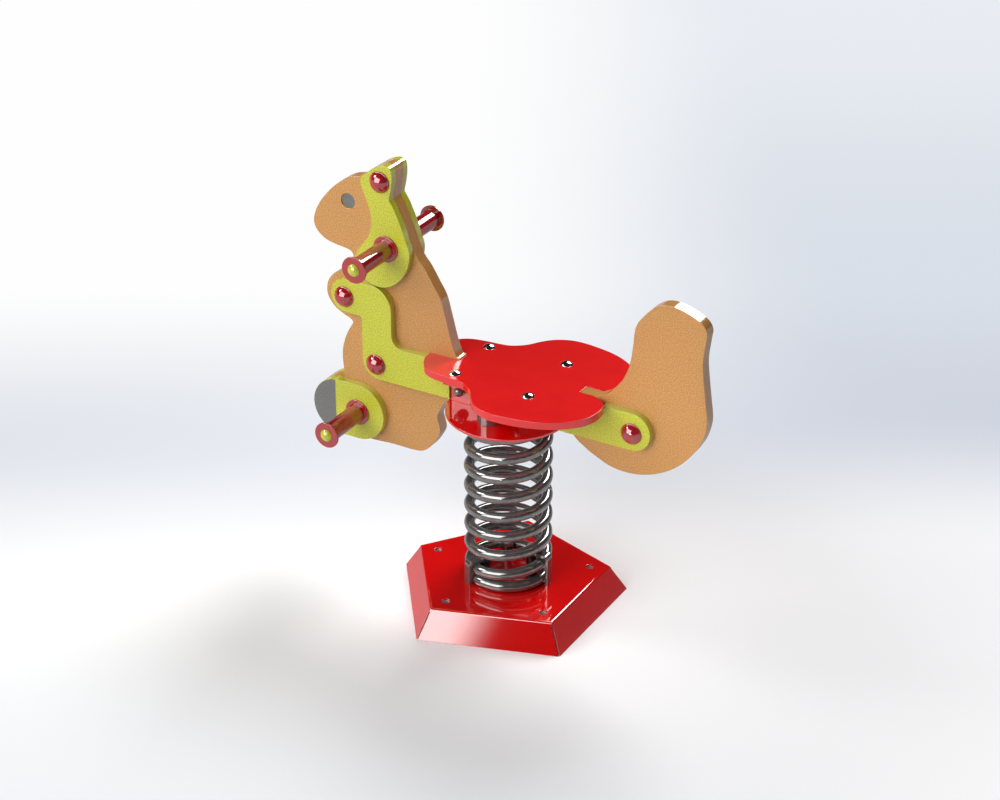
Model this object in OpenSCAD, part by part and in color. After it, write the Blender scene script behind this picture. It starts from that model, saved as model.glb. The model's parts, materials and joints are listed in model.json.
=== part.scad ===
// Playground spring rider shaped like a squirrel.
// A folded base pan carries one coil spring. On the spring stands a steel head
// with a seat, a body panel in front and a tail panel behind.
// The ground is at z = 0, the spring stands on the z axis, and the nose points to -x.

/* [Base] */
// Corner radius of the five-sided pan at the ground
base_foot_r = 281; // [265:1:310]
// Corner radius of the pan's flat top
base_top_r = 237; // [228:1:250]
// Height of the pan
base_h = 66; // [55:1:90]
// Thickness of the folded sheet
base_sheet_t = 4; // [2:0.5:6]
// Open seam between two folded skirts
base_seam_w = 4; // [2:0.5:5]
// Circle of the ground anchors
anchor_circle_d = 382; // [360:1:395]
// Hole for one ground anchor
anchor_hole_d = 18; // [12:1:22]
// Wall of the sleeve under an anchor hole
sleeve_wall = 8; // [4:0.5:10]
// Thickness of the plate that backs the pan under the spring
backing_t = 8; // [5:0.5:12]

/* [Spring] */
// Outer diameter of the coil
spring_d = 203; // [190:1:215]
// Diameter of the wire
wire_d = 25; // [20:0.5:25.5]
// Height from the pan to the head plate
spring_h = 420; // [400:1:500]
// Number of turns
spring_turns = 8.85; // [8:0.05:8.9]
// Where the lower tip of the wire lies around the axis
spring_tip_angle = 240; // [230:1:250]

/* [Spring clamps] */
// Width of a lower clamp
clamp_w = 22; // [16:1:30]
// Thickness of a lower clamp
clamp_t = 8; // [5:0.5:10]
// Bolt through a lower clamp
clamp_bolt_d = 12; // [10:1:14]
// Rod of a U-bolt on the top turn
u_bolt_d = 8; // [6:0.5:10]

/* [Head] */
// Width of the head plate beyond the coil
head_plate_rim = 41; // [34:1:42]
// Thickness of the head plate
head_plate_t = 6; // [4:0.5:10]
// Thickness of a cheek plate
cheek_t = 12; // [8:0.5:14]
// How far a cheek plate stops short of the head plate's rim
cheek_inset = 8.5; // [4:0.5:14]
// Height of a cheek plate
cheek_h = 76; // [70:1:90]
// Bolt that clamps a panel between the cheeks
cheek_bolt_d = 14; // [12:0.5:16]
// Diameter of a post under the seat
seat_post_d = 50; // [40:1:54]
// Width of a bar under the seat
seat_bar_w = 40; // [34:1:50]
// Thickness of a bar under the seat
seat_bar_t = 6; // [4:0.5:10]

/* [Seat] */
// Reach of the seat in front of the spring axis
seat_front = 194; // [188:1:205]
// Reach of the seat behind the spring axis
seat_rear = 266; // [255:1:285]
// Widest part of the seat
seat_w = 400; // [370:1:430]
// Thickness of the seat board
seat_t = 18; // [14:0.5:24]
// Depth of the front slot that takes the body panel
front_slot = 77; // [70:1:84]
// Depth of the rear slot that takes the tail panel
rear_slot = 78; // [70:1:86]
// Front seat bolts, ahead of the spring axis
seat_bolt_front = 94; // [90:1:98]
// Rear seat bolts, behind the spring axis
seat_bolt_rear = 99; // [94:1:104]
// Front seat bolts, across the seat from the middle
seat_bolt_front_y = 75; // [70:1:78]
// Rear seat bolts, across the seat from the middle
seat_bolt_rear_y = 88; // [80:1:94]
// Seat bolt
seat_bolt_d = 10; // [8:0.5:12]

/* [Panels] */
// Thickness of the body and tail panels
panel_t = 30; // [24:0.5:36]
// Thickness of the panels laid on them
overlay_t = 18; // [14:0.5:24]
// Length of the body panel, nose to back
body_len = 382; // [370:1:410]
// Height of the body panel
body_h = 700; // [680:1:740]
// Drop of the body panel below the head plate
body_drop = 158; // [150:1:168]
// Radius of the eye
eye_r = 18; // [14:0.5:22]
// Recess of the eye in the body panel
eye_recess = 3; // [1:0.5:6]
// Length of the ear panel
ear_len = 142; // [134:1:150]
// Width of the upright arm
arm_w = 79; // [72:1:88]
// Half height of the level bars that run under the seat
bar_r = 45; // [42:0.5:48]
// Radius of the foot's round ends
foot_r = 70; // [64:1:72]
// Length of the foot
foot_len = 192; // [180:1:200]
// Length of the grey toe
toe_len = 62; // [52:1:72]
// Length of the tail panel
tail_len = 322; // [310:1:340]
// Height of the tail panel
tail_h = 425; // [410:1:445]
// Drop of the tail panel below the head plate
tail_drop = 62; // [56:1:70]

/* [Bolts and caps] */
// Bolt through a panel and its two overlays
panel_bolt_d = 10; // [8:0.5:12]
// Flange of a dome cap
cap_d = 50; // [48:1:56]
// Thickness of that flange
cap_flange_t = 3; // [2:0.5:5]
// Dome of a cap
cap_dome_d = 47; // [42:1:47.5]
// Height of the dome above its flange
cap_dome_h = 16; // [14:0.5:20]

/* [Grips] */
// Rod through both grips
rod_d = 12; // [10:0.5:12.5]
// Length of one grip from the overlay
grip_len = 132; // [120:1:150]
// Diameter of the grip
grip_d = 44; // [38:0.5:50]
// Diameter of a grip's flanges
grip_flange_d = 62; // [54:1:70]
// Thickness of a grip's flanges
grip_flange_t = 5; // [3:0.5:8]
// Dome that closes a grip's end
end_cap_d = 30; // [29:0.5:34]

/* [Hidden] */

$fn = 64;
// How far a cut runs past the face it opens
overrun = 1;
// Radial clearance of a bolt in its hole
bolt_fit = 0.3;
// Clearance between a board and the steel or slot that holds it
board_fit = 0.3;
// Clearance around the spring wire
wire_fit = 0.3;
// Clearance between boards that end beside each other
end_gap = 1;
// Points of a spline between two control points
spline_steps = 5;
// Points of a rounded corner
corner_steps = 10;

// Sizes of a nut, a bolt head and a free thread end, as shares of the bolt's diameter
nut_af_share = 1.7;
nut_h_share = 0.8;
head_h_share = 0.65;
thread_end_share = 0.3;

// Corners of the pan, one of them under the nose
base_sides = 5;
base_corner_angle = 180;

// Spring: flat share of the end turn, then the turns over which the pitch grows
flat_turns = 0.2;
ramp_turns = 0.58;
rings_per_turn = 24;
wire_sides = 8;
coil_r = (spring_d - wire_d) / 2;
rider_z = base_h + spring_h;

// Lower clamps: angle around the axis, and which pass of the wire each one holds down
clamp_places = [[0, 1], [120, 0], [240, 1]];
spacer_wall = 6;
// How far a spacer stands inside the coil
spacer_inset = 3;
// Inner radius of a lower clamp's bends
clamp_bend_r = 3;
spacer_r = clamp_bolt_d / 2 + bolt_fit + spacer_wall;
clamp_bolt_r = spring_d / 2 - wire_d - spacer_r - spacer_inset;

// U-bolts on the top turn: angle around the axis, and how many more passes each one takes in
u_bolt_places = [[36, 0], [66, 0], [142, 1]];
// Room between a U-bolt and the wire
u_bolt_fit = 1.2;
u_bend_r = wire_d / 2 + u_bolt_fit + u_bolt_d / 2;

// Levels from the head plate up to the seat
head_top = rider_z + head_plate_t;
bar_z = head_top + cheek_h;
seat_z = bar_z + seat_bar_t;
seat_top = seat_z + seat_t;
head_plate_r = spring_d / 2 + head_plate_rim;
cheek_len = 2 * (head_plate_r - cheek_inset);
cheek_y = panel_t / 2 + board_fit;
overlay_y = panel_t / 2 + overlay_t;
tongue_z = [head_top + end_gap, bar_z - end_gap];
// Inner ends of the panel tongues, from the spring axis
tongue_end = 20;
// Cheek bolts: along the cheek from the spring axis, and up the cheek
cheek_bolt_shares = [0.34, 0.8];
cheek_bolt_rise_share = 0.44;
cheek_bolt_z = head_top + cheek_bolt_rise_share * cheek_h;

// Posts under the seat: place on the head plate, and the spigot in it
seat_post_x = -10;
seat_post_y = 73;
spigot_d = 16;

// Front and rear slot ends
front_slot_x = front_slot - seat_front;
rear_slot_x = seat_rear - rear_slot;
// How far the seat's rounded prongs stop short of its rear end beside the tail links
prong_short = 14;
// Seat bar beyond the bolt
seat_bar_end = 20;
// Rounded head of a seat bolt
seat_head_d = 29;
seat_head_h = 7;

// Boxes of the outlines: x, z, length, height
body_box = [front_slot_x - board_fit - body_len, rider_z - body_drop, body_len, body_h];
ear_place_share = 0.322;
ear_h_share = 0.4214;
ear_h = ear_h_share * body_h;
ear_box = [body_box[0] + ear_place_share * body_len, body_box[1] + body_h - ear_h, ear_len, ear_h];
tail_place_share = 0.05;
tail_box = [rear_slot_x - tail_place_share * tail_len, rider_z - tail_drop, tail_len, tail_h];

// Places of bolts and grips, as shares of the box that each one follows
eye_shares = [0.249, 0.84];
paw_shares = [0.249, 0.517];
hip_shares = [0.469, 0.306];
paw_bolt_shares = [0.233, 0.513];
hip_bolt_shares = [0.445, 0.296];
foot_share = 0.304;
ear_bolt_shares = [0.486, 0.865];
hand_shares = [0.577, 0.333];
link_shares = [0.473, 0.267];
link_bolt_shares = [0.473, 0.259];
eye_place = place(body_box, eye_shares);
paw_place = place(body_box, paw_shares);
hip_place = place(body_box, hip_shares);
foot_place = [body_box[0] + foot_share * body_len, body_box[1] + foot_r];
ear_place = place(ear_box, ear_bolt_shares);
hand_place = place(ear_box, hand_shares);
link_place = place(tail_box, link_shares);
paw_bolt_place = place(body_box, paw_bolt_shares);
hip_bolt_place = place(body_box, hip_bolt_shares);
link_bolt_place = place(tail_box, link_bolt_shares);
toe_x = foot_place[0] + foot_r - foot_len + toe_len;
panel_bolt_places = [ear_place, paw_bolt_place, hip_bolt_place, link_bolt_place];
// Dowels that hold the toes, above and below the middle of the foot
dowel_d = 10;
dowel_depth = 10;
dowel_spread_share = 0.4;
dowel_x = toe_x - toe_len / 2;

// Radius of the paw, and corner radii of the arm
paw_r_share = 0.06;
elbow_share = 1.3;
paw_r = paw_r_share * body_h;
arm_crook_r = 8;
arm_elbow_r = elbow_share * paw_r;
arm_hip_r = 30;

// Grip: counterbore for the nut, and the plug of its end cap
nut_room = 2;
plug_depth = 4;
plug_fit = 0.2;
end_cap_h = 10;
rod_nut_r = rod_d * nut_af_share / sqrt(3);
grip_bore_r = rod_nut_r + nut_room;
grip_bore_depth = rod_d * nut_h_share + nut_room + plug_depth;
grip_end_y = overlay_y + grip_len;
rod_half = grip_end_y - plug_depth - nut_room / 2;

// Outline of the body panel, from the seat up the back, over the head and down the front
body_shares = [[1, 0.378], [0.982, 0.383], [0.971, 0.393], [0.958, 0.411], [0.94, 0.441],
    [0.901, 0.523], [0.872, 0.576], [0.827, 0.617], [0.77, 0.667], [0.712, 0.709], [0.636, 0.81],
    [0.598, 0.857], [0.57, 0.881], [0.564, 0.891], [0.577, 0.924], [0.585, 0.96],
    [0.579, 0.99], [0.552, 1], [0.513, 0.997], [0.463, 0.984],
    [0.414, 0.966], [0.359, 0.94], [0.259, 0.923], [0.186, 0.896], [0.123, 0.864],
    [0.065, 0.826], [0.024, 0.789], [0.003, 0.751], [0.01, 0.726], [0.037, 0.706], [0.079, 0.69],
    [0.139, 0.68], [0.225, 0.673], [0.262, 0.666], [0.277, 0.649], [0.259, 0.623],
    [0.204, 0.599], [0.139, 0.576], [0.094, 0.546], [0.079, 0.514], [0.089, 0.484],
    [0.131, 0.454], [0.199, 0.433], [0.241, 0.424], [0.257, 0.411], [0.241, 0.396],
    [0.209, 0.363], [0.183, 0.32], [0.175, 0.28], [0.181, 0.231], [0.188, 0.181], [0.223, 0.074],
    [0.301, 0.001], [0.524, 0], [0.681, 0], [0.746, 0.009], [0.796, 0.034], [0.84, 0.07],
    [0.859, 0.097], [0.851, 0.123], [0.84, 0.146], [0.853, 0.169], [0.89, 0.206],
    [0.927, 0.229], [0.963, 0.274], [0.995, 0.334]];

// Outline of the ear panel, from the brow over the ear and round the cheek
ear_shares = [[0.134, 0.855], [0.19, 0.892], [0.38, 0.963], [0.514, 0.993], [0.62, 1],
    [0.69, 0.976], [0.706, 0.906], [0.685, 0.822], [0.65, 0.742], [0.668, 0.717],
    [0.742, 0.661],
    [0.845, 0.552], [0.93, 0.441], [1, 0.34], [0.986, 0.253], [0.915, 0.162], [0.796, 0.084],
    [0.634, 0.024], [0.458, 0], [0.261, 0.013], [0.099, 0.071], [0.007, 0.158], [0.014, 0.232],
    [0.092, 0.296], [0.211, 0.37], [0.289, 0.455], [0.31, 0.545], [0.275, 0.636],
    [0.183, 0.751], [0.134, 0.811]];

// Outline of the tail panel, from under the seat along the belly, up the back and over the tip
tail_shares = [[0, 0.226], [0, 0.139], [0.099, 0.078], [0.199, 0.038], [0.298, 0.009], [0.416, 0],
    [0.54, 0.012], [0.665, 0.047], [0.776, 0.101], [0.87, 0.172], [0.944, 0.256], [0.981, 0.322],
    [1, 0.405], [0.984, 0.508], [0.963, 0.626], [0.95, 0.732], [0.966, 0.847], [0.972, 0.899],
    [0.938, 0.941], [0.851, 0.976], [0.755, 0.998], [0.677, 1], [0.609, 0.981], [0.54, 0.936],
    [0.466, 0.861], [0.447, 0.805], [0.44, 0.739], [0.429, 0.666], [0.415, 0.614],
    [0.393, 0.566], [0.3595, 0.516], [0.3, 0.459], [0.252, 0.424], [0.206, 0.4035],
    [0.168, 0.3935], [0.05, 0.392], [0, 0.392]];

// One half of the seat's outline, nose to rear, as shares of its length and half width
seat_shares = [[0, 0.15], [0.013, 0.26], [0.043, 0.375], [0.096, 0.455], [0.172, 0.49],
    [0.248, 0.505], [0.307, 0.535], [0.367, 0.64], [0.411, 0.79], [0.459, 0.905], [0.53, 0.985],
    [0.607, 1], [0.693, 0.975], [0.77, 0.935], [0.846, 0.865], [0.917, 0.755], [0.974, 0.61],
    [0.998, 0.46], [1, 0.32], [0.988, 0.215], [0.953, 0.128], [0.904, 0.075]];

// Geometry of outlines

// A point in a box, from its shares of the box's length and height
function place(box, share) = [box[0] + share[0] * box[2], box[1] + share[1] * box[3]];

function unit(v) = v / norm(v);

// Closed smooth curve through a list of points
function spline(points) = [
    for (i = [0 : len(points) - 1])
        let (n = len(points),
             a = points[(i + n - 1) % n],
             b = points[i],
             c = points[(i + 1) % n],
             d = points[(i + 2) % n])
            for (k = [0 : spline_steps - 1])
                let (t = k / spline_steps)
                    b + ((c - a) * t + (2 * a - 5 * b + 4 * c - d) * t * t
                        + (3 * b - a - 3 * c + d) * t * t * t) / 2];

// Closed outline of corners [x, z, radius]; a radius of zero leaves the corner sharp
function rounded(corners) = [
    for (i = [0 : len(corners) - 1])
        let (n = len(corners),
             b = corners[i],
             p = [b[0], b[1]],
             u = unit([for (k = [0, 1]) corners[(i + n - 1) % n][k] - b[k]]),
             v = unit([for (k = [0, 1]) corners[(i + 1) % n][k] - b[k]]),
             half = acos(u * v) / 2,
             centre = p + unit(u + v) * b[2] / sin(half),
             from = p + u * b[2] / tan(half) - centre,
             to = p + v * b[2] / tan(half) - centre,
             turn = sign(from[0] * to[1] - from[1] * to[0]) * (180 - 2 * half),
             start = atan2(from[1], from[0]))
            for (k = [0 : b[2] > 0 ? corner_steps : 0])
                b[2] > 0
                    ? centre + b[2] * [cos(start + turn * k / corner_steps),
                                       sin(start + turn * k / corner_steps)]
                    : p];

// Spring wire

// Rise of the wire after t turns from a closed end, in pitches
function end_rise(t) =
    t < flat_turns ? 0
    : t < flat_turns + ramp_turns ? (t - flat_turns) ^ 2 / (2 * ramp_turns)
    : t - flat_turns - ramp_turns / 2;

function rise(t) =
    t < spring_turns / 2 ? end_rise(t) : 2 * end_rise(spring_turns / 2) - end_rise(spring_turns - t);

// Height of the wire's centre after t turns
function wire_z(t) =
    base_h + wire_fit + wire_d / 2
    + (spring_h - wire_d - 2 * wire_fit) * rise(t) / rise(spring_turns);

function whole_turn(angle) = ((angle % 360) + 360) % 360;

// Turns from the lower tip to a place around the axis, counted from the bottom or from the top
function low_turn(angle, pass) = whole_turn(angle - spring_tip_angle) / 360 + pass;
function top_turn(angle) =
    spring_turns - whole_turn(spring_tip_angle + 360 * spring_turns - angle) / 360;

function wire_point(t) =
    let (angle = spring_tip_angle + 360 * t)
        [coil_r * cos(angle), coil_r * sin(angle), wire_z(t)];

wire_rings = round(spring_turns * rings_per_turn);
wire_turns = [for (i = [0 : wire_rings]) spring_turns * i / wire_rings];
wire_path = [for (t = wire_turns) wire_point(t)];

function wire_ring(i) =
    let (along = unit(wire_path[min(i + 1, wire_rings)] - wire_path[max(i - 1, 0)]),
         angle = spring_tip_angle + 360 * wire_turns[i],
         out = [cos(angle), sin(angle), 0],
         up = unit(cross(along, out)),
         side = cross(up, along))
        [for (k = [0 : wire_sides - 1])
            wire_path[i] + wire_d / 2 * (cos(360 * k / wire_sides) * side
                                         + sin(360 * k / wire_sides) * up)];

// Least free gap between two passes of the wire
wire_gap = min([for (i = [0 : wire_rings]) for (j = [i + rings_per_turn / 2 : wire_rings])
    norm(wire_path[j] - wire_path[i])]) - wire_d;
echo("least gap between passes of the spring wire, mm", wire_gap);

// Shapes that repeat

// A board that stands in the x-z plane, from y over its thickness
module board(y, t) translate([0, y + t, 0]) rotate([90, 0, 0]) linear_extrude(height = t) children();

// A round bar along y
module y_bar(at, y, length, r) translate([at[0], y, at[1]]) rotate([-90, 0, 0])
    cylinder(r = r, h = length);

// A hole along y, right through the middle boards and their overlays
module y_hole(at, r) y_bar(at, -overlay_y - overrun, 2 * (overlay_y + overrun), r);

// What stands on a face at y and looks to +y
module on_face(at, y) translate([at[0], y, at[1]]) rotate([-90, 0, 0]) children();

module other_side() mirror([0, 1, 0]) children();

module around(angle) rotate([0, 0, angle]) children();

// A cap of a sphere on z = 0
module dome(r, h) {
    ball_r = (r ^ 2 + h ^ 2) / (2 * h);
    intersection() {
        translate([0, 0, h - ball_r]) sphere(r = ball_r);
        cylinder(r = r, h = h + overrun);
    }
}

module hexagon(d, h) cylinder(r = d * nut_af_share / sqrt(3), h = h, $fn = 6);

module nut(d) difference() {
    hexagon(d, d * nut_h_share);
    translate([0, 0, -overrun]) cylinder(r = d / 2 + bolt_fit, h = d * nut_h_share + 2 * overrun);
}

// A nut with a closed round top
module dome_nut(d) difference() {
    union() {
        hexagon(d, d * nut_h_share);
        translate([0, 0, d * nut_h_share]) dome(d * nut_af_share / 2, d * nut_h_share);
    }
    translate([0, 0, -overrun]) cylinder(r = d / 2 + bolt_fit, h = thread_past(d) + overrun);
}

// How far a bolt reaches past the face its nut sits on
function thread_past(d) = d * (nut_h_share + thread_end_share);

// A hexagon bolt whose head lies under z = 0
module hex_bolt(d, length) {
    cylinder(d = d, h = length);
    translate([0, 0, -d * head_h_share]) hexagon(d, d * head_h_share);
}

// Base

module at_anchors() for (i = [0 : base_sides - 1])
    around(base_corner_angle + 360 * i / base_sides) translate([anchor_circle_d / 2, 0, 0]) children();

module pan_solid(inset, h) {
    slope = (base_foot_r - base_top_r) / base_h;
    around(base_corner_angle)
        cylinder(r1 = base_foot_r - inset, r2 = base_foot_r - inset - slope * h, h = h, $fn = base_sides);
}

module base_pan() color("red") difference() {
    pan_solid(0, base_h);
    translate([0, 0, -overrun])
        pan_solid((base_sheet_t - overrun * (base_foot_r - base_top_r) / base_h) / cos(180 / base_sides),
            base_h - base_sheet_t + overrun);
    for (i = [0 : base_sides - 1]) around(base_corner_angle + 360 * i / base_sides)
        translate([base_top_r - base_sheet_t, -base_seam_w / 2, -overrun])
            cube([base_foot_r, base_seam_w, base_h - 2 * base_sheet_t + overrun]);
    at_anchors() translate([0, 0, base_h - base_sheet_t - overrun])
        cylinder(d = anchor_hole_d, h = base_sheet_t + 2 * overrun);
    clamp_holes();
}

module anchor_sleeves() color("firebrick") at_anchors() difference() {
    cylinder(d = anchor_hole_d + 2 * sleeve_wall, h = base_h - base_sheet_t);
    translate([0, 0, -overrun]) cylinder(d = anchor_hole_d, h = base_h);
}

module backing_plate() color("dimgray") difference() {
    translate([0, 0, base_h - base_sheet_t - backing_t]) cylinder(r = spring_d / 2, h = backing_t);
    clamp_holes();
}

// Lower clamps

function clamp_z(at) =
    wire_z(low_turn(at[0], at[1]) + asin(clamp_w / 2 / coil_r) / 360) + wire_d / 2 + wire_fit;

module at_clamp_bolts() for (at = clamp_places)
    around(at[0]) translate([clamp_bolt_r, 0, 0]) children();

module clamp_holes() at_clamp_bolts() cylinder(d = clamp_bolt_d + 2 * bolt_fit, h = base_h + overrun);

module spring_clamps() color("dimgray") for (at = clamp_places) around(at[0]) difference() {
    leg_x = spring_d / 2 + wire_fit;
    inner_x = clamp_bolt_r - spacer_r;
    board(-clamp_w / 2, clamp_w) polygon(rounded([
        [leg_x, base_h, 0],
        [leg_x + clamp_t, base_h, 0],
        [leg_x + clamp_t, clamp_z(at) + clamp_t, clamp_t + clamp_bend_r],
        [inner_x, clamp_z(at) + clamp_t, 0],
        [inner_x, clamp_z(at), 0],
        [leg_x, clamp_z(at), clamp_bend_r]]));
    translate([clamp_bolt_r, 0, clamp_z(at) - overrun])
        cylinder(d = clamp_bolt_d + 2 * bolt_fit, h = clamp_t + 2 * overrun);
}

module clamp_spacers() color("dimgray") for (at = clamp_places)
    around(at[0]) translate([clamp_bolt_r, 0, base_h]) difference() {
        cylinder(r = spacer_r, h = clamp_z(at) - base_h);
        translate([0, 0, -overrun])
            cylinder(d = clamp_bolt_d + 2 * bolt_fit, h = clamp_z(at) - base_h + 2 * overrun);
    }

module clamp_bolts() color("silver") for (at = clamp_places) {
    foot_z = base_h - base_sheet_t - backing_t;
    around(at[0]) translate([clamp_bolt_r, 0, foot_z])
        hex_bolt(clamp_bolt_d, clamp_z(at) + clamp_t - foot_z + clamp_bolt_d * nut_h_share);
}

module clamp_nuts() color("silver") for (at = clamp_places)
    around(at[0]) translate([clamp_bolt_r, 0, clamp_z(at) + clamp_t]) dome_nut(clamp_bolt_d);

// Spring

module spring() color("dimgray") polyhedron(
    points = [for (i = [0 : wire_rings]) each wire_ring(i)],
    faces = [
        for (i = [0 : wire_rings - 1]) for (k = [0 : wire_sides - 1])
            let (a = i * wire_sides + k,
                 b = i * wire_sides + (k + 1) % wire_sides)
                each [[a, a + wire_sides, b + wire_sides], [a, b + wire_sides, b]],
        for (k = [1 : wire_sides - 2]) each [
            [0, k, k + 1],
            [wire_rings * wire_sides, wire_rings * wire_sides + k + 1, wire_rings * wire_sides + k]]]);

// Head

function u_bend_z(at) = wire_z(top_turn(at[0]) - at[1]);

module at_u_legs() for (at = u_bolt_places) for (side = [-1, 1])
    around(at[0]) translate([coil_r + side * u_bend_r, 0, 0]) children();

module head_plate() color("red") difference() {
    translate([0, 0, rider_z]) cylinder(r = head_plate_r, h = head_plate_t);
    at_u_legs() translate([0, 0, rider_z - overrun])
        cylinder(d = u_bolt_d + 2 * bolt_fit, h = head_plate_t + 2 * overrun);
    for (side = [-1, 1]) translate([seat_post_x, side * seat_post_y, rider_z - overrun])
        cylinder(d = spigot_d + 2 * bolt_fit, h = head_plate_t + 2 * overrun);
}

module spring_u_bolts() color("dimgray") for (at = u_bolt_places)
    around(at[0]) translate([coil_r, 0, u_bend_z(at)]) {
        rotate([-90, 0, 0]) rotate_extrude(angle = 180) translate([u_bend_r, 0]) circle(d = u_bolt_d);
        for (side = [-1, 1]) translate([side * u_bend_r, 0, 0])
            cylinder(d = u_bolt_d, h = head_top + thread_past(u_bolt_d) - u_bend_z(at));
    }

module u_bolt_nuts() color("silver") at_u_legs() translate([0, 0, head_top]) nut(u_bolt_d);

cheek_bolt_places = [for (side = [-1, 1]) for (s = cheek_bolt_shares)
    [side * s * cheek_len / 2, cheek_bolt_z]];

module right_cheek() color("red") difference() {
    translate([-cheek_len / 2, cheek_y, head_top]) cube([cheek_len, cheek_t, cheek_h]);
    for (at = cheek_bolt_places) y_hole(at, cheek_bolt_d / 2 + bolt_fit);
}

module left_cheek() other_side() right_cheek();

// A post that stands on the head plate under the seat, with a spigot in the plate
module right_seat_post() color("dimgray") translate([seat_post_x, seat_post_y, 0]) {
    translate([0, 0, rider_z]) cylinder(d = spigot_d, h = head_plate_t);
    translate([0, 0, head_top]) cylinder(d = seat_post_d, h = seat_z - board_fit - head_top);
}

module left_seat_post() other_side() right_seat_post();

module seat_bar(x, bolt_y) color("firebrick") difference() {
    length = 2 * (bolt_y + seat_bar_end);
    translate([x - seat_bar_w / 2, -length / 2, bar_z]) cube([seat_bar_w, length, seat_bar_t]);
    at_seat_bolts() translate([0, 0, bar_z - overrun])
        cylinder(d = seat_bolt_d + 2 * bolt_fit, h = seat_bar_t + 2 * overrun);
}

module front_seat_bar() seat_bar(-seat_bolt_front, seat_bolt_front_y);

module rear_seat_bar() seat_bar(seat_bolt_rear, seat_bolt_rear_y);

module cheek_bolts() color("silver") for (at = cheek_bolt_places)
    other_side() on_face(at, -cheek_y - cheek_t)
        hex_bolt(cheek_bolt_d, 2 * (cheek_y + cheek_t) + cheek_bolt_d * nut_h_share);

module cheek_nuts() color("silver") for (at = cheek_bolt_places)
    other_side() on_face(at, cheek_y + cheek_t) dome_nut(cheek_bolt_d);

// Seat

module at_seat_bolts() for (side = [-1, 1]) {
    translate([-seat_bolt_front, side * seat_bolt_front_y, 0]) children();
    translate([seat_bolt_rear, side * seat_bolt_rear_y, 0]) children();
}

function seat_half(side) = [for (s = seat_shares)
    [s[0] * (seat_front + seat_rear) - seat_front, side * s[1] * seat_w / 2]];

module seat_slots() {
    width = panel_t + 2 * board_fit;
    translate([-seat_front - overrun, -width / 2]) square([front_slot + overrun, width]);
    translate([rear_slot_x, -width / 2]) square([rear_slot + overrun, width]);
}

module seat() color("red") difference() {
    translate([0, 0, seat_z]) linear_extrude(height = seat_t) difference() {
        polygon(spline([each seat_half(1), each reverse(seat_half(-1))]));
        seat_slots();
    }
    at_seat_bolts() translate([0, 0, seat_z - overrun])
        cylinder(d = seat_bolt_d + 2 * bolt_fit, h = seat_t + 2 * overrun);
}

function reverse(list) = [for (i = [len(list) - 1 : -1 : 0]) list[i]];

module seat_bolts() color("silver") at_seat_bolts() translate([0, 0, seat_top]) {
    dome(seat_head_d / 2, seat_head_h);
    shank = seat_top - bar_z + thread_past(seat_bolt_d);
    translate([0, 0, -shank]) cylinder(d = seat_bolt_d, h = shank);
}

module seat_nuts() color("silver") at_seat_bolts()
    translate([0, 0, bar_z - seat_bolt_d * nut_h_share]) nut(seat_bolt_d);

// Body and tail panels

// The part of a panel that passes between the cheeks, from x to the inner end
module tongue(x, end_x) translate([min(x, end_x), tongue_z[0]])
    square([abs(end_x - x), tongue_z[1] - tongue_z[0]]);

// What the seat, its bars and the room above them take out of a panel beside the slot's end
module seat_room(x, reach) translate([min(x, x + reach), tongue_z[1]]) square([abs(reach), body_h]);

module foot_outline() {
    left = foot_place[0] + foot_r - foot_len;
    polygon(rounded([
        [left, foot_place[1] - foot_r, foot_r],
        [left + foot_len, foot_place[1] - foot_r, foot_r],
        [left + foot_len, foot_place[1] + foot_r, foot_r],
        [left, foot_place[1] + foot_r, foot_r]]));
}

module body_panel() color("peru") difference() {
    board(-panel_t / 2, panel_t) difference() {
        union() {
            polygon(spline([for (s = body_shares) place(body_box, s)]));
            foot_outline();
            tongue(hip_place[0], -tongue_end);
        }
        seat_room(front_slot_x - board_fit, front_slot);
    }
    y_hole(eye_place, eye_r + board_fit);
    for (at = [ear_place, paw_bolt_place, hip_bolt_place]) y_hole(at, panel_bolt_d / 2 + bolt_fit);
    for (at = [hand_place, foot_place]) y_hole(at, rod_d / 2 + bolt_fit);
    for (at = cheek_bolt_places) y_hole(at, cheek_bolt_d / 2 + bolt_fit);
    dowels(bolt_fit);
}

module eye_disc() color("dimgray")
    y_bar(eye_place, eye_recess - panel_t / 2, panel_t - 2 * eye_recess, eye_r);

module tail_panel() color("peru") difference() {
    board(-panel_t / 2, panel_t) difference() {
        union() {
            polygon(spline([for (s = tail_shares) place(tail_box, s)]));
            tongue(link_place[0], tongue_end);
        }
        seat_room(rear_slot_x + board_fit, -rear_slot_x);
    }
    y_hole(link_bolt_place, panel_bolt_d / 2 + bolt_fit);
    for (at = cheek_bolt_places) y_hole(at, cheek_bolt_d / 2 + bolt_fit);
}

// Overlays, drawn on the right side

module overlay() color("yellowgreen") board(panel_t / 2, overlay_t) children();

module right_ear_panel() difference() {
    overlay() polygon(spline([for (s = ear_shares) place(ear_box, s)]));
    y_hole(ear_place, panel_bolt_d / 2 + bolt_fit);
    y_hole(hand_place, rod_d / 2 + bolt_fit);
}

module left_ear_panel() other_side() right_ear_panel();

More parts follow.
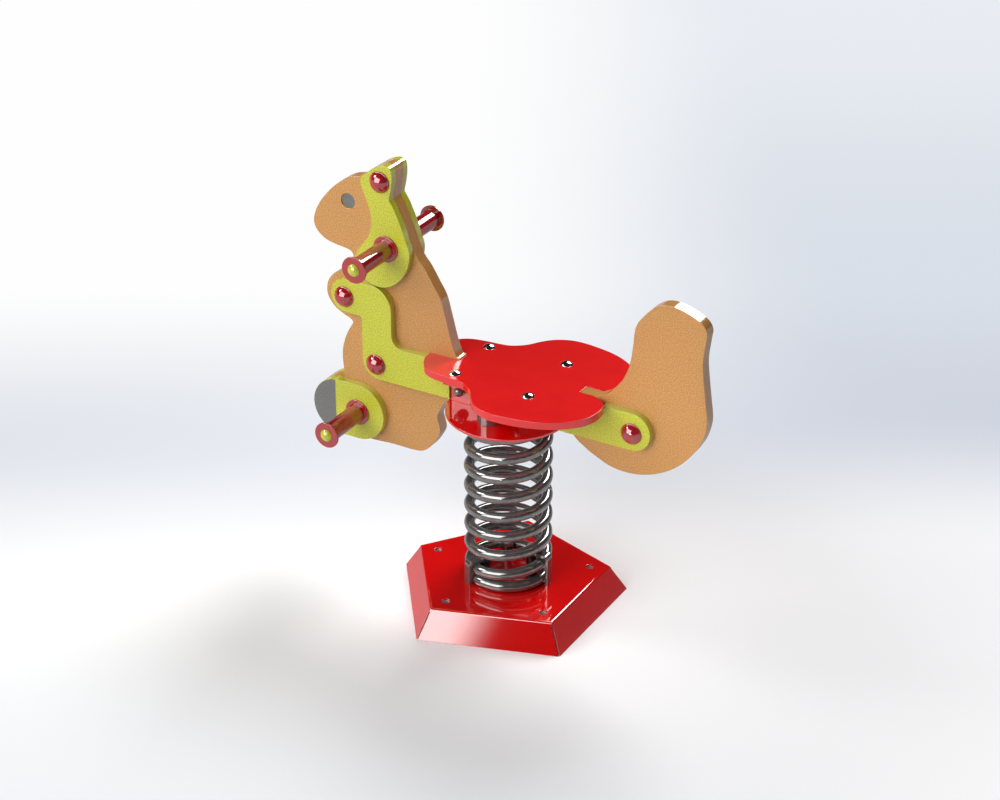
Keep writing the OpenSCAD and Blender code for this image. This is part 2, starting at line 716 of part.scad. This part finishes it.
module right_arm_panel() difference() {
    arm_x = hip_place[0] - bar_r;
    end_x = -cheek_len / 2 - end_gap;
    notch_x = -seat_front - end_gap;
    overlay() polygon(rounded([
        [paw_place[0] - paw_r, paw_place[1] - paw_r, paw_r],
        [arm_x, paw_place[1] - paw_r, arm_crook_r],
        [arm_x, hip_place[1] - bar_r, bar_r],
        [end_x, hip_place[1] - bar_r, 0],
        [end_x, seat_z - end_gap, 0],
        [notch_x, seat_z - end_gap, 0],
        [notch_x, hip_place[1] + bar_r, 0],
        [arm_x + arm_w, hip_place[1] + bar_r, arm_hip_r],
        [arm_x + arm_w, paw_place[1] + paw_r, arm_elbow_r],
        [paw_place[0] - paw_r, paw_place[1] + paw_r, paw_r]]));
    for (at = [paw_bolt_place, hip_bolt_place]) y_hole(at, panel_bolt_d / 2 + bolt_fit);
}

module left_arm_panel() other_side() right_arm_panel();

// The foot's outline on one side of the toe's edge
module foot_part(x, reach) intersection() {
    foot_outline();
    translate([min(x, x + reach), foot_place[1] - foot_len]) square([abs(reach), 2 * foot_len]);
}

module right_foot_panel() difference() {
    overlay() foot_part(toe_x, foot_len);
    y_hole(foot_place, rod_d / 2 + bolt_fit);
}

module left_foot_panel() other_side() right_foot_panel();

module right_toe() color("dimgray") difference() {
    board(panel_t / 2, overlay_t) foot_part(toe_x, -foot_len);
    dowels(bolt_fit);
}

module left_toe() other_side() right_toe();

module dowels(room) for (side = [-1, 1])
    y_bar([dowel_x, foot_place[1] + side * dowel_spread_share * foot_r],
        -panel_t / 2 - dowel_depth - room, panel_t + 2 * (dowel_depth + room), dowel_d / 2 + room);

module toe_dowels() color("silver") dowels(0);

module right_tail_link() difference() {
    start_x = head_plate_r + end_gap;
    notch_x = seat_rear - prong_short;
    overlay() polygon(rounded([
        [start_x, link_place[1] - bar_r, 0],
        [link_place[0] + bar_r, link_place[1] - bar_r, bar_r],
        [link_place[0] + bar_r, link_place[1] + bar_r, bar_r],
        [notch_x, link_place[1] + bar_r, 0],
        [notch_x, seat_z - end_gap, 0],
        [start_x, seat_z - end_gap, 0]]));
    y_hole(link_bolt_place, panel_bolt_d / 2 + bolt_fit);
}

module left_tail_link() other_side() right_tail_link();

// Bolts and dome caps through the panels

module panel_bolts() color("silver") for (at = panel_bolt_places) {
    half = overlay_y + thread_past(panel_bolt_d);
    y_bar(at, -half, 2 * half, panel_bolt_d / 2);
}

module panel_nuts() color("silver") for (at = panel_bolt_places) {
    on_face(at, overlay_y) nut(panel_bolt_d);
    other_side() on_face(at, overlay_y) nut(panel_bolt_d);
}

module dome_cap() difference() {
    room_r = panel_bolt_d * nut_af_share / sqrt(3) + end_gap;
    union() {
        cylinder(d = cap_d, h = cap_flange_t);
        translate([0, 0, cap_flange_t]) dome(cap_dome_d / 2, cap_dome_h);
    }
    translate([0, 0, -overrun]) cylinder(r = room_r, h = thread_past(panel_bolt_d) + end_gap + overrun);
}

module right_dome_caps() color("crimson") for (at = panel_bolt_places) on_face(at, overlay_y) dome_cap();

module left_dome_caps() other_side() right_dome_caps();

// Hand grips and footrests

module grip() difference() {
    union() {
        cylinder(d = grip_d, h = grip_len);
        cylinder(d = grip_flange_d, h = grip_flange_t);
        translate([0, 0, grip_len - grip_flange_t]) cylinder(d = grip_flange_d, h = grip_flange_t);
    }
    translate([0, 0, -overrun]) cylinder(r = rod_d / 2 + bolt_fit, h = grip_len + 2 * overrun);
    translate([0, 0, grip_len - grip_bore_depth]) cylinder(r = grip_bore_r, h = grip_bore_depth + overrun);
}

module end_cap() {
    dome(end_cap_d / 2, end_cap_h);
    translate([0, 0, -plug_depth]) cylinder(r = grip_bore_r - plug_fit, h = plug_depth);
}

module rod(at) color("silver") y_bar(at, -rod_half, 2 * rod_half, rod_d / 2);

module rod_nuts(at) color("silver") {
    on_face(at, grip_end_y - grip_bore_depth) nut(rod_d);
    other_side() on_face(at, grip_end_y - grip_bore_depth) nut(rod_d);
}

module right_hand_grip() color("crimson") on_face(hand_place, overlay_y) grip();

module left_hand_grip() other_side() right_hand_grip();

module hand_rod() rod(hand_place);

module hand_rod_nuts() rod_nuts(hand_place);

module right_hand_cap() color("yellowgreen") on_face(hand_place, grip_end_y) end_cap();

module left_hand_cap() other_side() right_hand_cap();

module right_footrest() color("crimson") on_face(foot_place, overlay_y) grip();

module left_footrest() other_side() right_footrest();

module foot_rod() rod(foot_place);

module foot_rod_nuts() rod_nuts(foot_place);

module right_foot_cap() color("yellowgreen") on_face(foot_place, grip_end_y) end_cap();

module left_foot_cap() other_side() right_foot_cap();

base_pan();
anchor_sleeves();
backing_plate();
spring_clamps();
clamp_spacers();
clamp_bolts();
clamp_nuts();
spring();
head_plate();
spring_u_bolts();
u_bolt_nuts();
left_cheek();
right_cheek();
left_seat_post();
right_seat_post();
front_seat_bar();
rear_seat_bar();
cheek_bolts();
cheek_nuts();
seat();
seat_bolts();
seat_nuts();
body_panel();
eye_disc();
left_ear_panel();
right_ear_panel();
left_arm_panel();
right_arm_panel();
left_foot_panel();
right_foot_panel();
left_toe();
right_toe();
toe_dowels();
tail_panel();
left_tail_link();
right_tail_link();
panel_bolts();
panel_nuts();
left_dome_caps();
right_dome_caps();
hand_rod();
left_hand_grip();
right_hand_grip();
hand_rod_nuts();
left_hand_cap();
right_hand_cap();
foot_rod();
left_footrest();
right_footrest();
foot_rod_nuts();
left_foot_cap();
right_foot_cap();
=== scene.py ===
import json
import math

import bmesh
import bpy
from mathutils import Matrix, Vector


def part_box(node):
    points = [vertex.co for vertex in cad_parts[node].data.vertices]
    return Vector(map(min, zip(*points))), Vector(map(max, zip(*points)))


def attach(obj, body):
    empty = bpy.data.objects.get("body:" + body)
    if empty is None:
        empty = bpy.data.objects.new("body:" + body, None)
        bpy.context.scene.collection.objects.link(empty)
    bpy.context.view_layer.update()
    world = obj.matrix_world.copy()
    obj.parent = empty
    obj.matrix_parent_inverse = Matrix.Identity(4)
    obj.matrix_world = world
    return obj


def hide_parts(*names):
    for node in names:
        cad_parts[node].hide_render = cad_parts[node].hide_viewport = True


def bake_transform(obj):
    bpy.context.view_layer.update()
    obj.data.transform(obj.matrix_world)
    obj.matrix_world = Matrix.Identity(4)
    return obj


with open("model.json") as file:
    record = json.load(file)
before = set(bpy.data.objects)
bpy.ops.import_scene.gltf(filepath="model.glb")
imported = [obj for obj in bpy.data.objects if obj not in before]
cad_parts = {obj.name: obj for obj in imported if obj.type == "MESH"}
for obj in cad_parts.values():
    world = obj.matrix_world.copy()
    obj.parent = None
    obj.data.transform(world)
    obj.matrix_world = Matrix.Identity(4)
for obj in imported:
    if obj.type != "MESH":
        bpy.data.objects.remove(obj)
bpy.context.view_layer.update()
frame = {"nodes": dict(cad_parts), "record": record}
nodes = frame["nodes"]
record = frame["record"]
scene = bpy.context.scene

# Camera: the photograph's viewing angle, in metres from the foot of the spring
VIEW_AZIMUTH = math.radians(30)
VIEW_ELEVATION = math.radians(27.94)
VIEW_DISTANCE = 5.5825
VIEW_RIGHT = -0.0192
VIEW_UP = 0.4553
SENSOR_MM = 36
LENS_MM = 86.11

# Spring: the wire's course in turns, the wire's share of the spring's outer radius, and the rings and
# sides of its mesh
TURNS = 8.85
TIP_ANGLE = math.radians(240)
FLAT_TURNS = 0.2
RAMP_TURNS = 0.58
WIRE_SHARE = 12.5 / 101.5
RINGS_PER_TURN = 72
WIRE_SIDES = 32

# Edges: the angles that tell them apart, and the widths of the rounded ones in metres
WELD = 1e-6
FLAT_ANGLE = math.radians(0.4)
SHARP_ANGLE = math.radians(32)
EDGE_STEPS = 3
FOLD_EDGE = 0.0045
FOLD_LENGTH = 0.1
FOLD_STEPS = 6
PLATE_EDGE = 0.0009
FASTENER_EDGE = 0.0006
SEAT_EDGE = 0.001
BOARD_EDGE = 0.0008
MOULDED_EDGE = 0.0012
EDGE_WIDTHS = {
    "base_red": PLATE_EDGE,
    "dark_steel": PLATE_EDGE,
    "spring_steel": PLATE_EDGE,
    "zinc": FASTENER_EDGE,
    "chrome": FASTENER_EDGE,
    "seat_red": SEAT_EDGE,
    "tan_board": BOARD_EDGE,
    "lime_board": BOARD_EDGE,
    "grey_board": BOARD_EDGE,
    "cap_red": MOULDED_EDGE,
    "lime_cap": MOULDED_EDGE,
}
# Nuts whose dome meets the hexagon's sides, which leaves no room for a rounded edge
DOMED_NUTS = ("cheek_nuts", "clamp_nuts")
# Least part of its normal along y that makes a face the flat of a board and not its rim
FLAT_SHARE = 0.99

# Colours, as linear red, green and blue
TAN = (0.59, 0.285, 0.078)
LIME = (0.56, 0.57, 0.034)
GREY = (0.165, 0.165, 0.158)
SEAT_RED = (0.78, 0.012, 0.012)
PAINT_RED = (0.74, 0.002, 0.002)
CAP_RED = (0.40, 0.008, 0.014)
OXIDE = (0.16, 0.16, 0.16)
STEEL = (0.32, 0.312, 0.305)
ZINC = (0.64, 0.64, 0.62)
CHROME = (0.86, 0.86, 0.86)

# Finishes: grain sizes and heights in metres, and tints and spreads as shares of what they vary
SPECKLE = 0.003
PEEL = 0.0035
PEEL_HEIGHT = 0.0006
PEEL_STRENGTH = 0.3
SAW_GRAIN = 0.004
SAW_STRETCH = (0.25, 3.0, 0.25)
PAINT_CLOUD = 0.06
PAINT_GRAIN = 0.0015
METAL_GRAIN = 0.003
SPRING_GRAIN = 0.012
FACE_TINTS = (0.74, 1.24)
RIM_TINTS = (0.86, 1.06)
GLOSS_TINTS = (0.97, 1.02)
METAL_TINTS = (0.85, 1.1)
GLOSS_SPREAD = (0.7, 1.4)
METAL_SPREAD = (0.75, 1.3)
# Lowest and highest roughness of a board, on its flats and on its rim
FACE_ROUGHNESS = (0.3, 0.46)
RIM_ROUGHNESS = (0.07, 0.14)
# Parts of a noise's range over which speckles, tints and roughness run from low to high
SPECKLE_SPAN = (0.34, 0.66)
TINT_SPAN = (0.35, 0.65)
ROUGHNESS_SPAN = (0.3, 0.7)

# Lamps: distances and places in metres, and the share of a side over which brightness fades out
LIT_POINT = Vector((0, 0, 0.5))
TAIL_POINT = Vector((0.4, 0, 0.58))
LAMP_DISTANCE = 4.0
LAMP_FADE = 0.0575
BLACK = (0, 0, 0)
WHITE = (1, 1, 1)
# Angles of a lamp's beam in degrees
OPEN_SPREAD = 180
TAIL_SPREAD = 10

# Floor: depth and sides of its shading in metres from the foot, as the camera faces it
FLOOR_HALF = 60.0
FLOOR_DEPTH = (-1.5, 4.5)
FLOOR_SIDES = (-0.2, 1.0)
# Distances from the foot between which the floor stops showing shadow to the camera
FLOOR_CLEAR = (0.55, 1.65)
# Brightness of the floor and of the horizon in mirrors
MIRRORED = 0.55
# Colours at shares of the floor's depth
FLOOR_LEFT = (
    (0.08, (0.86, 0.88, 0.91)),
    (0.25, (0.98, 0.98, 0.98)),
    (0.37, (0.76, 0.785, 0.84)),
    (0.54, (0.99, 0.99, 0.99)),
)
FLOOR_RIGHT = (
    (0.08, (0.98, 0.98, 0.99)),
    (0.28, (0.94, 0.94, 0.955)),
    (0.40, (0.63, 0.665, 0.745)),
    (0.55, (0.70, 0.74, 0.81)),
    (0.95, (0.81, 0.84, 0.89)),
)

# World: colours by height, what the camera sees, and the band that mirrors see, from its top down
SKY = ((0.0, (0.10, 0.10, 0.105)), (0.25, (0.02, 0.02, 0.021)))
PALE = (0.98, 0.98, 0.985, 1)
HORIZON = (0.02, 0.0)


# Shader nodes

def feed(tree, socket, value):
    """Links a socket to another one, or sets it to a constant."""
    if isinstance(value, bpy.types.NodeSocket):
        tree.links.new(value, socket)
    else:
        socket.default_value = value


def math_of(tree, operation, first, second):
    node = tree.nodes.new("ShaderNodeMath")
    node.operation = operation
    feed(tree, node.inputs[0], first)
    feed(tree, node.inputs[1], second)
    return node.outputs["Value"]


def mix_of(tree, share, first, second):
    """The first colour where the share is nothing, and the second where it is one."""
    mix = tree.nodes.new("ShaderNodeMix")
    mix.data_type = "RGBA"
    feed(tree, mix.inputs["Factor"], share)
    feed(tree, mix.inputs["A"], first)
    feed(tree, mix.inputs["B"], second)
    return mix.outputs["Result"]


def ramp_of(tree, value, stops, interpolation="EASE"):
    """Colours set at places along a value that runs from 0 to 1."""
    ramp = tree.nodes.new("ShaderNodeValToRGB")
    ramp.color_ramp.interpolation = interpolation
    elements = ramp.color_ramp.elements
    elements[0].position, elements[1].position = stops[0][0], stops[-1][0]
    elements[0].color, elements[1].color = (*stops[0][1], 1), (*stops[-1][1], 1)
    for position, color in stops[1:-1]:
        elements.new(position).color = (*color, 1)
    feed(tree, ramp.inputs["Fac"], value)
    return ramp.outputs["Color"]


def spread_of(tree, value, span, results=(0.0, 1.0), interpolation="LINEAR"):
    """Spreads the part of a value inside the span over the results."""
    spread = tree.nodes.new("ShaderNodeMapRange")
    spread.interpolation_type = interpolation
    spread.inputs["From Min"].default_value, spread.inputs["From Max"].default_value = span
    spread.inputs["To Min"].default_value, spread.inputs["To Max"].default_value = results
    feed(tree, spread.inputs["Value"], value)
    return spread.outputs["Result"]


def axes_of(tree, vector):
    split = tree.nodes.new("ShaderNodeSeparateXYZ")
    feed(tree, split.inputs["Vector"], vector)
    return split.outputs


def mapped(tree, vector, setting, value):
    """A vector that a Mapping node has turned or stretched by one setting."""
    mapping = tree.nodes.new("ShaderNodeMapping")
    mapping.inputs[setting].default_value = value
    feed(tree, mapping.inputs["Vector"], vector)
    return mapping.outputs["Vector"]


def place_of(tree, kind="Object"):
    return tree.nodes.new("ShaderNodeTexCoord").outputs[kind]


def rays_of(tree):
    """One for rays from the camera, and one for rays that a mirror or glass sends on."""
    path = tree.nodes.new("ShaderNodeLightPath")
    mirrored = math_of(tree, "MAXIMUM", path.outputs["Is Glossy Ray"], path.outputs["Is Transmission Ray"])
    return path.outputs["Is Camera Ray"], mirrored


# Colours and finishes

def shader_of(name, color, roughness, metallic=0.0, ior=1.5):
    material = bpy.data.materials.new(name)
    material.use_nodes = True
    shader = material.node_tree.nodes["Principled BSDF"]
    shader.inputs["Base Color"].default_value = (*color, 1)
    shader.inputs["Roughness"].default_value = roughness
    shader.inputs["Metallic"].default_value = metallic
    shader.inputs["IOR"].default_value = ior
    return material, material.node_tree, shader.inputs


def noise_of(tree, size, detail=3.0, stretch=(1, 1, 1)):
    """Noise whose grains are about size metres across in the frame's own coordinates."""
    noise = tree.nodes.new("ShaderNodeTexNoise")
    noise.inputs["Scale"].default_value = 1 / size
    noise.inputs["Detail"].default_value = detail
    feed(tree, noise.inputs["Vector"], mapped(tree, place_of(tree), "Scale", stretch))
    return noise.outputs["Fac"]


def scaled(values, share):
    return tuple(value * share for value in values)


def tint_of(tree, noise, color, tints, span=TINT_SPAN):
    """A colour that the noise takes from its darker to its lighter tint."""
    stops = [(place, scaled(color, tint)) for place, tint in zip(span, tints)]
    return ramp_of(tree, noise, stops, "LINEAR")


def bump_of(tree, noise, strength, height):
    bump = tree.nodes.new("ShaderNodeBump")
    bump.inputs["Strength"].default_value = strength
    bump.inputs["Distance"].default_value = height
    feed(tree, bump.inputs["Height"], noise)
    return bump.outputs["Normal"]


def board_face(name, color):
    """Pressed flat of a board: a fine orange peel with speckled colour."""
    material, tree, inputs = shader_of(name, color, roughness=0.36, ior=1.65)
    speckle = noise_of(tree, SPECKLE)
    peel = noise_of(tree, PEEL, detail=2.0)
    feed(tree, inputs["Base Color"], tint_of(tree, speckle, color, FACE_TINTS, SPECKLE_SPAN))
    feed(tree, inputs["Roughness"], spread_of(tree, speckle, ROUGHNESS_SPAN, FACE_ROUGHNESS))
    feed(tree, inputs["Normal"], bump_of(tree, peel, PEEL_STRENGTH, PEEL_HEIGHT))
    return material


def board_rim(name, color):
    """Sawn and polished rim of a board, with a gloss that mirrors the lamps."""
    material, tree, inputs = shader_of(name, color, roughness=0.1, ior=2.4)
    grain = noise_of(tree, SAW_GRAIN, stretch=SAW_STRETCH)
    feed(tree, inputs["Base Color"], tint_of(tree, grain, color, RIM_TINTS))
    feed(tree, inputs["Roughness"], spread_of(tree, grain, ROUGHNESS_SPAN, RIM_ROUGHNESS))
    return material


def gloss(name, color, roughness, ior):
    """Gloss paint or moulded plastic: a faint unevenness in its colour and its sheen."""
    material, tree, inputs = shader_of(name, color, roughness, ior=ior)
    cloud = noise_of(tree, PAINT_CLOUD, detail=2.0)
    grain = noise_of(tree, PAINT_GRAIN, detail=2.0)
    rough = spread_of(tree, grain, ROUGHNESS_SPAN, scaled(GLOSS_SPREAD, roughness))
    feed(tree, inputs["Base Color"], tint_of(tree, cloud, color, GLOSS_TINTS))
    feed(tree, inputs["Roughness"], rough)
    return material


def metal(name, color, roughness, grain=METAL_GRAIN, metallic=1.0):
    """Plated, polished or oxidised metal: clouded colour and sheen."""
    material, tree, inputs = shader_of(name, color, roughness, metallic)
    cloud = noise_of(tree, grain)
    rough = spread_of(tree, cloud, ROUGHNESS_SPAN, scaled(METAL_SPREAD, roughness))
    feed(tree, inputs["Base Color"], tint_of(tree, cloud, color, METAL_TINTS))
    feed(tree, inputs["Roughness"], rough)
    return material


# One finish for a slot, or a board's flats and then its rim
finishes = {
    "base_red": [gloss("base_red_gloss", PAINT_RED, roughness=0.045, ior=2.5)],
    "dark_steel": [metal("dark_steel_oxide", OXIDE, roughness=0.28)],
    "spring_steel": [metal("spring_steel_polished", STEEL, roughness=0.06,
                           grain=SPRING_GRAIN, metallic=0.75)],
    "zinc": [metal("zinc_plate", ZINC, roughness=0.36, metallic=0.5)],
    "chrome": [metal("chrome_bright", CHROME, roughness=0.04)],
    "seat_red": [gloss("seat_red_board", SEAT_RED, roughness=0.1, ior=2.0)],
    "tan_board": [board_face("tan_face", TAN), board_rim("tan_rim", TAN)],
    "lime_board": [board_face("lime_face", LIME), board_rim("lime_rim", LIME)],
    "grey_board": [board_face("grey_face", GREY), board_rim("grey_rim", LIME)],
    "cap_red": [gloss("cap_red_gloss", CAP_RED, roughness=0.06, ior=2.3)],
    "lime_cap": [gloss("lime_cap_gloss", LIME, roughness=0.08, ior=2.0)],
}


# Pieces

def body_of(node):
    return next(body for body, members in record["behaviour"]["bodies"].items() if node in members)


def add_mesh(name, mesh, slot):
    piece = bpy.data.objects.new(name, mesh)
    scene.collection.objects.link(piece)
    for material in finishes[slot]:
        mesh.materials.append(material)
    return piece


def round_edges(builder, edges, width, steps=EDGE_STEPS):
    bmesh.ops.bevel(builder, geom=edges, offset=width, segments=steps, profile=0.5,
                    affect="EDGES", clamp_overlap=False)


def sharp_edges(builder):
    return [edge for edge in builder.edges
            if edge.is_manifold and edge.calc_face_angle() > SHARP_ANGLE]


def fold_edges(builder):
    """The long edges round the top of a folded sheet."""
    top = max(vert.co.z for vert in builder.verts)
    return [edge for edge in sharp_edges(builder)
            if edge.calc_length() > FOLD_LENGTH and all(top - vert.co.z < WELD for vert in edge.verts)]


def dress(node, slot):
    """Stands for a node: the same solid with its sharp edges rounded and its finish on."""
    builder = bmesh.new()
    builder.from_mesh(nodes[node].data)
    bmesh.ops.remove_doubles(builder, verts=builder.verts, dist=WELD)
    bmesh.ops.dissolve_limit(builder, angle_limit=FLAT_ANGLE, verts=builder.verts, edges=builder.edges)
    if node == "base_pan":
        round_edges(builder, fold_edges(builder), FOLD_EDGE, FOLD_STEPS)
    if node not in DOMED_NUTS:
        round_edges(builder, sharp_edges(builder), EDGE_WIDTHS[slot])
    builder.normal_update()
    rim = len(finishes[slot]) - 1
    for face in builder.faces:
        face.smooth = True
        face.material_index = 0 if abs(face.normal.y) > FLAT_SHARE else rim
    mesh = bpy.data.meshes.new(node + "_dressed")
    builder.to_mesh(mesh)
    builder.free()
    mesh.set_sharp_from_angle(angle=SHARP_ANGLE)
    piece = add_mesh(node + "_dressed", mesh, slot)
    normals = piece.modifiers.new("face normals", "WEIGHTED_NORMAL")
    normals.keep_sharp = True
    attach(piece, body_of(node))
    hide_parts(node)


# Spring wire

def end_rise(turn):
    """Climb from a flat end, where one is the climb of a full turn at the even pitch."""
    if turn < FLAT_TURNS:
        return 0.0
    if turn < FLAT_TURNS + RAMP_TURNS:
        return (turn - FLAT_TURNS) ** 2 / (2 * RAMP_TURNS)
    return turn - FLAT_TURNS - RAMP_TURNS / 2


def rise(turn):
    """Climb from the foot, with both ends of the wire flat."""
    if turn < TURNS / 2:
        return end_rise(turn)
    return 2 * end_rise(TURNS / 2) - end_rise(TURNS - turn)


class Wire:
    """The spring's wire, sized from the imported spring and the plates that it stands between."""

    def __init__(self):
        low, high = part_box("spring")
        head_low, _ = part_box("head_plate")
        _, pan_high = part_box("base_pan")
        room = head_low.z - pan_high.z
        fit = low.z - pan_high.z
        outer = max(high.x, high.y, -low.x, -low.y)
        self.radius = WIRE_SHARE * outer
        self.coil = outer - self.radius
        self.start = pan_high.z + fit + self.radius
        self.climb = room - 2 * (fit + self.radius)

    def point(self, turn):
        angle = TIP_ANGLE + 2 * math.pi * turn
        return Vector((self.coil * math.cos(angle), self.coil * math.sin(angle),
                       self.start + self.climb * rise(turn) / rise(TURNS)))

    def ring(self, turn):
        """Points round the wire, square to its course."""
        step = 0.5 / RINGS_PER_TURN
        along = (self.point(min(turn + step, TURNS)) - self.point(max(turn - step, 0))).normalized()
        angle = TIP_ANGLE + 2 * math.pi * turn
        out = Vector((math.cos(angle), math.sin(angle), 0))
        up = along.cross(out).normalized()
        side = up.cross(along)
        angles = [2 * math.pi * k / WIRE_SIDES for k in range(WIRE_SIDES)]
        return [self.point(turn) + self.radius * (math.cos(a) * side + math.sin(a) * up) for a in angles]


def wire_piece(name, wire, first, last):
    """A closed length of the wire, from one turn to another."""
    rings = round((last - first) * RINGS_PER_TURN)
    builder = bmesh.new()
    loops = [[builder.verts.new(point) for point in wire.ring(first + (last - first) * i / rings)]
             for i in range(rings + 1)]
    for near, far in zip(loops, loops[1:]):
        for k in range(WIRE_SIDES):
            after = (k + 1) % WIRE_SIDES
            builder.faces.new((near[k], far[k], far[after], near[after])).smooth = True
    builder.faces.new(loops[0])
    builder.faces.new(reversed(loops[-1]))
    bmesh.ops.recalc_face_normals(builder, faces=builder.faces)
    mesh = bpy.data.meshes.new(name)
    builder.to_mesh(mesh)
    builder.free()
    return add_mesh(name, mesh, "spring_steel")


def make_spring():
    """Two lengths of one wire that meet at mid height."""
    wire = Wire()
    lower = wire_piece("spring_lower_turns", wire, 0, TURNS / 2)
    upper = wire_piece("spring_upper_turns", wire, TURNS / 2, TURNS)
    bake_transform(lower)
    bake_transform(upper)
    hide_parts("spring")


# Studio

def make_camera():
    right = Vector((math.cos(VIEW_AZIMUTH), math.sin(VIEW_AZIMUTH), 0))
    back = Vector((math.sin(VIEW_AZIMUTH) * math.cos(VIEW_ELEVATION),
                   -math.cos(VIEW_AZIMUTH) * math.cos(VIEW_ELEVATION),
                   math.sin(VIEW_ELEVATION)))
    up = back.cross(right)
    camera = bpy.data.objects.new("camera", bpy.data.cameras.new("camera"))
    scene.collection.objects.link(camera)
    camera.data.sensor_width = SENSOR_MM
    camera.data.lens = LENS_MM
    camera.location = VIEW_DISTANCE * back + VIEW_RIGHT * right + VIEW_UP * up
    camera.rotation_mode = "QUATERNION"
    camera.rotation_quaternion = (-back).to_track_quat("-Z", "Y")
    scene.camera = camera


def direction(azimuth, elevation):
    a, e = math.radians(azimuth), math.radians(elevation)
    return Vector((math.cos(e) * math.cos(a), math.cos(e) * math.sin(a), math.sin(e)))


def fade_of(tree, value):
    """Rises from nothing at both ends of a lamp's side to one inside."""
    return ramp_of(tree, value, ((0, BLACK), (LAMP_FADE, WHITE), (1 - LAMP_FADE, WHITE), (1, BLACK)))


def softbox(name, azimuth, elevation, width, height, radiance, aim=LIT_POINT, spread=OPEN_SPREAD):
    """A flat lamp that faces its aim, with angles in degrees and brightness as seen in a mirror."""
    lamp = bpy.data.lights.new(name, "AREA")
    lamp.shape = "RECTANGLE"
    lamp.size = width
    lamp.size_y = height
    lamp.energy = radiance * math.pi * width * height
    lamp.spread = math.radians(spread)
    lamp.use_nodes = True
    tree = lamp.node_tree
    sides = axes_of(tree, tree.nodes.new("ShaderNodeNewGeometry").outputs["Parametric"])
    inside = math_of(tree, "MULTIPLY", fade_of(tree, sides["X"]), fade_of(tree, sides["Y"]))
    feed(tree, tree.nodes["Emission"].inputs["Strength"], inside)
    stand = bpy.data.objects.new(name, lamp)
    scene.collection.objects.link(stand)
    towards = direction(azimuth, elevation)
    stand.location = aim + LAMP_DISTANCE * towards
    stand.rotation_mode = "QUATERNION"
    stand.rotation_quaternion = (-towards).to_track_quat("-Z", "Y")


def make_world():
    """Pale to the camera, and to mirrors just above the horizon. Otherwise dim, and darker overhead."""
    world = bpy.data.worlds.new("studio")
    scene.world = world
    world.use_nodes = True
    tree = world.node_tree
    height = axes_of(tree, place_of(tree, "Generated"))["Z"]
    camera, mirrored = rays_of(tree)
    low = math_of(tree, "MULTIPLY", spread_of(tree, height, HORIZON, interpolation="SMOOTHSTEP"), MIRRORED)
    share = math_of(tree, "MAXIMUM", camera, math_of(tree, "MULTIPLY", mirrored, low))
    color = mix_of(tree, share, ramp_of(tree, height, SKY), PALE)
    feed(tree, tree.nodes["Background"].inputs["Color"], color)


def floor_tone(tree):
    """Pale floor: white near and to the left, blue-grey to the right and in a band behind."""
    seen = axes_of(tree, mapped(tree, place_of(tree), "Rotation", (0, 0, -VIEW_AZIMUTH)))
    depth = spread_of(tree, seen["Y"], FLOOR_DEPTH)
    side = spread_of(tree, seen["X"], FLOOR_SIDES, interpolation="SMOOTHSTEP")
    return mix_of(tree, side, ramp_of(tree, depth, FLOOR_LEFT), ramp_of(tree, depth, FLOOR_RIGHT))


def floor_glow(tree):
    """Where the floor shines by itself, which is far off and in mirrors, and how brightly."""
    length = tree.nodes.new("ShaderNodeVectorMath")
    length.operation = "LENGTH"
    feed(tree, length.inputs[0], place_of(tree))
    far = spread_of(tree, length.outputs["Value"], FLOOR_CLEAR, interpolation="SMOOTHSTEP")
    camera, mirrored = rays_of(tree)
    share = math_of(tree, "MAXIMUM", math_of(tree, "MULTIPLY", camera, far), mirrored)
    return share, math_of(tree, "MAXIMUM", camera, MIRRORED)


def floor_material():
    material = bpy.data.materials.new("floor_pale")
    material.use_nodes = True
    tree = material.node_tree
    tree.nodes.clear()
    tone = floor_tone(tree)
    share, strength = floor_glow(tree)
    diffuse = tree.nodes.new("ShaderNodeBsdfDiffuse")
    glow = tree.nodes.new("ShaderNodeEmission")
    mix = tree.nodes.new("ShaderNodeMixShader")
    out = tree.nodes.new("ShaderNodeOutputMaterial")
    feed(tree, diffuse.inputs["Color"], tone)
    feed(tree, glow.inputs["Color"], tone)
    feed(tree, glow.inputs["Strength"], strength)
    feed(tree, mix.inputs["Fac"], share)
    feed(tree, mix.inputs[1], diffuse.outputs["BSDF"])
    feed(tree, mix.inputs[2], glow.outputs["Emission"])
    feed(tree, out.inputs["Surface"], mix.outputs["Shader"])
    return material


def make_floor():
    mesh = bpy.data.meshes.new("floor")
    corners = [(x * FLOOR_HALF, y * FLOOR_HALF, 0) for x, y in ((-1, -1), (1, -1), (1, 1), (-1, 1))]
    mesh.from_pydata(corners, [], [(0, 1, 2, 3)])
    mesh.materials.append(floor_material())
    floor = bpy.data.objects.new("floor", mesh)
    scene.collection.objects.link(floor)


make_spring()
for row in record["subparts"]:
    if row["node"] != "spring":
        dress(row["node"], row["material_slot"])

make_camera()
make_floor()
make_world()
softbox("key_softbox", azimuth=-109.8, elevation=30, width=4.1, height=3.1, radiance=3.85)
softbox("back_softbox", azimuth=86, elevation=45, width=2.1, height=2.1, radiance=11.4)
softbox("side_softbox", azimuth=198, elevation=40, width=1.1, height=1.1, radiance=11.0)
softbox("tail_softbox", azimuth=-85, elevation=8, width=0.5, height=0.5, radiance=0.27,
        aim=TAIL_POINT, spread=TAIL_SPREAD)
scene.view_settings.view_transform = "Standard"
